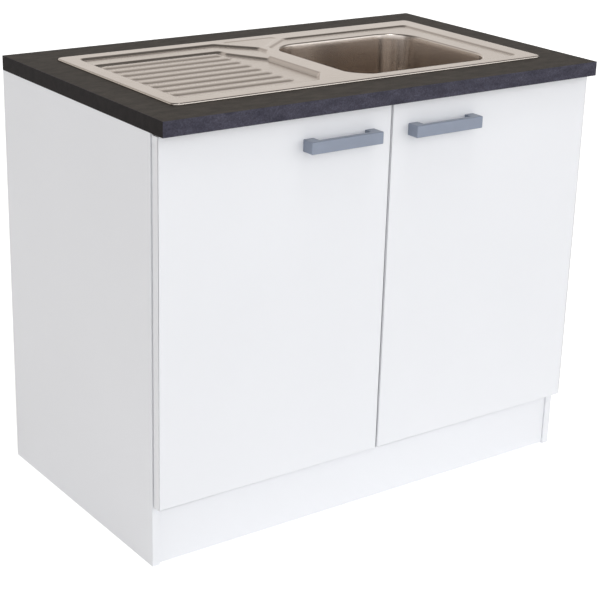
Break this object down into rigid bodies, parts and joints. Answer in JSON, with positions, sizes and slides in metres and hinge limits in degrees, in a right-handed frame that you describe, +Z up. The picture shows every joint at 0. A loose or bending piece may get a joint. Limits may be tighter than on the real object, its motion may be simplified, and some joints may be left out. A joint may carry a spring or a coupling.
{
  "type": "kitchen sink unit",
  "caption": "Base cabinet with a pair of hinged doors, bow handles, a dark worktop and an inset steel sink with a ribbed drainer, a bowl, a strainer waste and a bottle trap.",
  "frame": {"origin": "on the floor, midway between the outer faces of the side panels, and midway between the front of the handles and the back edge of the worktop", "axes": "+X to the right seen from the front, +Y to the back (the doors and handles face -Y), +Z up"},
  "size_m": [1, 0.607, 0.854],
  "materials": {
    "white_board": "melamine-faced chipboard, white satin",
    "white_edge": "white edge band",
    "worktop_laminate": "laminated chipboard, dark fine stone grain, matt",
    "worktop_edge": "dark edge band",
    "handle_plastic": "blue-grey satin",
    "sink_steel": "pressed stainless steel, fine brushed",
    "bright_steel": "polished stainless steel",
    "zinc_steel": "bright zinc plated",
    "cam_zinc": "die-cast zinc",
    "beech": "grooved beech",
    "foam_seal": "closed-cell foam",
    "grey_rubber": "soft rubber",
    "clear_bumper": "translucent soft polymer",
    "white_plumbing": "white moulded plastic",
    "knob_black": "black moulded plastic"
  },
  "bodies": {
    "cabinet": {"angle_brackets": "zinc_steel", "back_rail": "white_board", "bottom_panel": "white_board", "bracket_screws": "zinc_steel", "cam_bolts": "zinc_steel", "cam_locks": "cam_zinc", "clip_screws": "zinc_steel", "dowels": "beech", "front_rail": "white_board", "hinge_arms": "zinc_steel", "hinge_plates": "zinc_steel", "lower_back_rail": "white_board", "overflow_elbow": "white_plumbing", "overflow_pipe": "white_plumbing", "overflow_rose": "bright_steel", "overflow_screw": "bright_steel", "plate_screws": "zinc_steel", "plinth_board": "white_board", "side_panel_left": "white_board", "side_panel_right": "white_board", "sink_bowl": "sink_steel", "sink_clips": "zinc_steel", "sink_seal": "foam_seal", "sink_top": "sink_steel", "trap_bottle": "white_plumbing", "trap_cup": "white_plumbing", "trap_inlet_pipe": "white_plumbing", "trap_nuts": "white_plumbing", "trap_outlet_pipe": "white_plumbing", "waste_body": "white_plumbing", "waste_bolt": "bright_steel", "waste_flange": "bright_steel", "waste_gasket": "grey_rubber", "worktop": "worktop_laminate", "worktop_edges": "worktop_edge"},
    "left_door": {"door_left": "white_board", "door_edges_left": "white_edge", "handle_left": "handle_plastic", "handle_screws_left": "zinc_steel", "hinge_cups_left": "zinc_steel", "cup_screws_left": "zinc_steel", "door_bumpers_left": "clear_bumper"},
    "right_door": {"door_right": "white_board", "door_edges_right": "white_edge", "handle_right": "handle_plastic", "handle_screws_right": "zinc_steel", "hinge_cups_right": "zinc_steel", "cup_screws_right": "zinc_steel", "door_bumpers_right": "clear_bumper"},
    "basket": {"strainer_basket": "bright_steel", "basket_knob": "knob_black"}
  },
  "joints": [
    {"name": "left_door_hinge", "type": "hinge", "parent": "cabinet", "child": "left_door", "pos_m": [-0.49052, -0.2665, 0.224], "axis": [0, 0, -1], "range_deg": [0, 105]},
    {"name": "right_door_hinge", "type": "hinge", "parent": "cabinet", "child": "right_door", "pos_m": [0.49052, -0.2665, 0.224], "axis": [0, 0, 1], "range_deg": [0, 105]},
    {"name": "basket_lift", "type": "slide", "parent": "cabinet", "child": "basket", "axis": [0, 0, 1], "range_m": [0, 0.12]}
  ]
}
